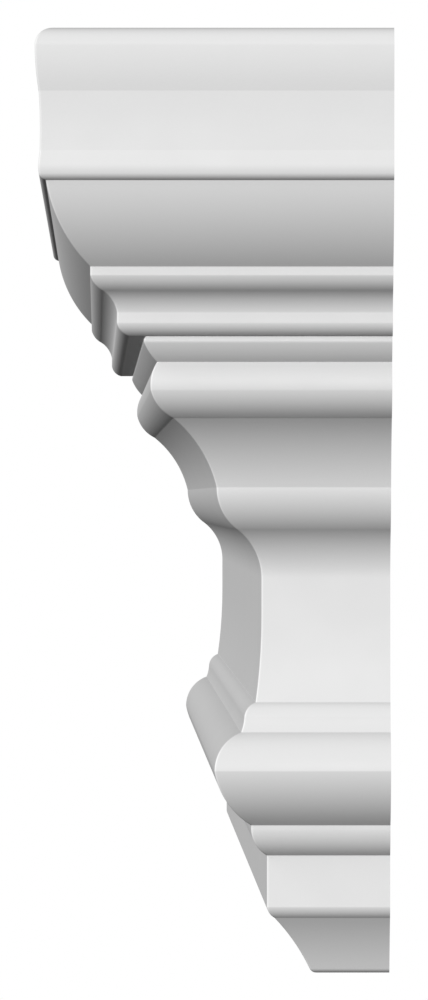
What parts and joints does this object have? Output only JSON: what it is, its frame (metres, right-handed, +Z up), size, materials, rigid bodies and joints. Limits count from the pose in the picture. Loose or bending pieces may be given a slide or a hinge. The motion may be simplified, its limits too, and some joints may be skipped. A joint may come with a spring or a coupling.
{
  "type": "crosshead moulding",
  "caption": "Crosshead moulding for over a door or window: rolled crown, stepped bed mould, plain frieze and torus base, with mitred returns at both ends and a flat back.",
  "frame": {"origin": "middle of the flat back, halfway along the length and halfway up the height", "axes": "+X along the moulding, +Y into the wall that the back lies against, -Y out of the wall towards the viewer, +Z up"},
  "size_m": [1.329, 0.0862, 0.2286],
  "materials": {
    "primed_polyurethane": "moulded high-density polyurethane in factory-applied white primer, matt to eggshell"
  },
  "bodies": {
    "root": {"crosshead_moulding": "primed_polyurethane"}
  },
  "joints": []
}
